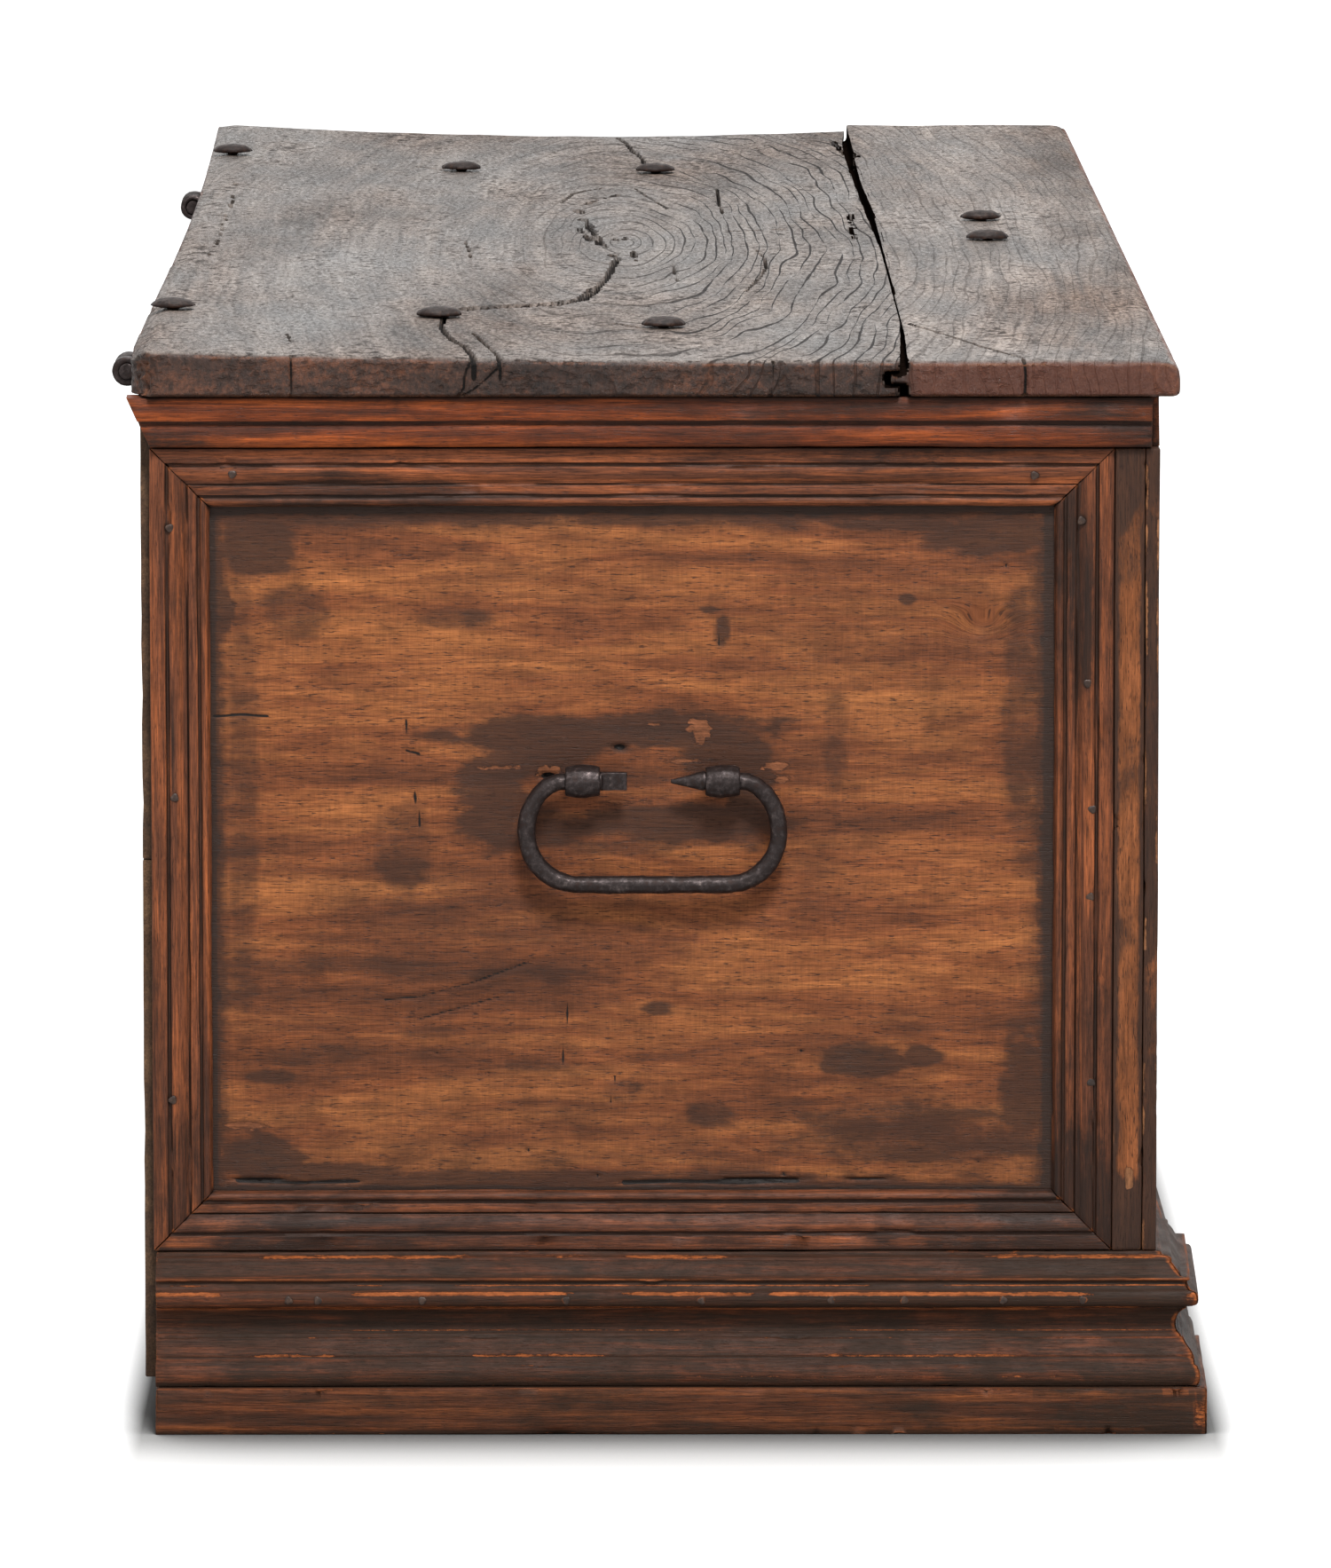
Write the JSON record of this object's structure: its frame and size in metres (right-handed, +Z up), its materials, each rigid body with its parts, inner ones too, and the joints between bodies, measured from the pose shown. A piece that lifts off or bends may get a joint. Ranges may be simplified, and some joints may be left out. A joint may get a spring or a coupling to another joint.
{
  "type": "cassone",
  "caption": "Long low walnut chest with a hinged plank lid, mitred panel mouldings, a moulded plinth and a forged iron bail handle on each end.",
  "frame": {"origin": "on the floor, under the middle of the chest's overall length and depth", "axes": "+X along the chest, to the right as seen from the front; -Y is the front; +Z up"},
  "size_m": [1.7226, 0.6428, 0.6327],
  "materials": {
    "panel_walnut": "planed walnut, worn brown varnish with dark stained edges",
    "moulding_walnut": "moulded walnut, dark old wax with reddish worn arrises",
    "lid_walnut": "lid boards, grey-brown worn and waxed, semi-gloss",
    "plain_poplar": "rough sawn secondary wood, dull and dusty",
    "forged_iron": "hand-forged iron, dark oxide with a worn sheen"
  },
  "bodies": {
    "carcase": {"back_plank_lower": "plain_poplar", "back_plank_upper": "plain_poplar", "base_moulding_lower_front": "moulding_walnut", "base_moulding_lower_left": "moulding_walnut", "base_moulding_lower_right": "moulding_walnut", "base_moulding_upper_front": "moulding_walnut", "base_moulding_upper_left": "moulding_walnut", "base_moulding_upper_right": "moulding_walnut", "bottom_board_back": "plain_poplar", "bottom_board_front": "plain_poplar", "corner_strip_left": "panel_walnut", "corner_strip_right": "panel_walnut", "end_left_frame_back": "moulding_walnut", "end_left_frame_bottom": "moulding_walnut", "end_left_frame_front": "moulding_walnut", "end_left_frame_top": "moulding_walnut", "end_plank_left": "panel_walnut", "end_plank_right": "panel_walnut", "end_right_frame_back": "moulding_walnut", "end_right_frame_bottom": "moulding_walnut", "end_right_frame_front": "moulding_walnut", "end_right_frame_top": "moulding_walnut", "front_left_frame_bottom": "moulding_walnut", "front_left_frame_left": "moulding_walnut", "front_left_frame_right": "moulding_walnut", "front_left_frame_top": "moulding_walnut", "front_pilaster_centre": "panel_walnut", "front_pilaster_left": "panel_walnut", "front_pilaster_right": "panel_walnut", "front_plank": "panel_walnut", "front_right_frame_bottom": "moulding_walnut", "front_right_frame_left": "moulding_walnut", "front_right_frame_right": "moulding_walnut", "front_right_frame_top": "moulding_walnut", "front_top_rail": "moulding_walnut", "handle_eye_back_left": "forged_iron", "handle_eye_back_right": "forged_iron", "handle_eye_front_left": "forged_iron", "handle_eye_front_right": "forged_iron", "hinge_pin_left": "forged_iron", "hinge_pin_right": "forged_iron", "hinge_strap_back_left": "forged_iron", "hinge_strap_back_right": "forged_iron", "lock_case": "forged_iron", "plinth_back": "moulding_walnut", "plinth_front": "moulding_walnut", "plinth_left": "moulding_walnut", "plinth_right": "moulding_walnut"},
    "lid": {"hinge_strap_lid_left": "forged_iron", "hinge_strap_lid_right": "forged_iron", "lid_board_back": "lid_walnut", "lid_board_front": "lid_walnut", "lid_cleat_left": "moulding_walnut", "lid_cleat_right": "moulding_walnut", "lock_keeper": "forged_iron"},
    "handle_left": {"handle_bail_left": "forged_iron"},
    "handle_right": {"handle_bail_right": "forged_iron"}
  },
  "joints": [
    {"name": "lid_hinge", "type": "hinge", "parent": "carcase", "child": "lid", "pos_m": [0, 0.31225, 0.5902], "axis": [-1, 0, 0], "range_deg": [0, 100]},
    {"name": "handle_left_swing", "type": "hinge", "parent": "carcase", "child": "handle_left", "pos_m": [-0.838, 0.002, 0.377], "axis": [0, 1, 0], "range_deg": [-5, 165]},
    {"name": "handle_right_swing", "type": "hinge", "parent": "carcase", "child": "handle_right", "pos_m": [0.838, 0.002, 0.377], "axis": [0, -1, 0], "range_deg": [-5, 165]}
  ]
}
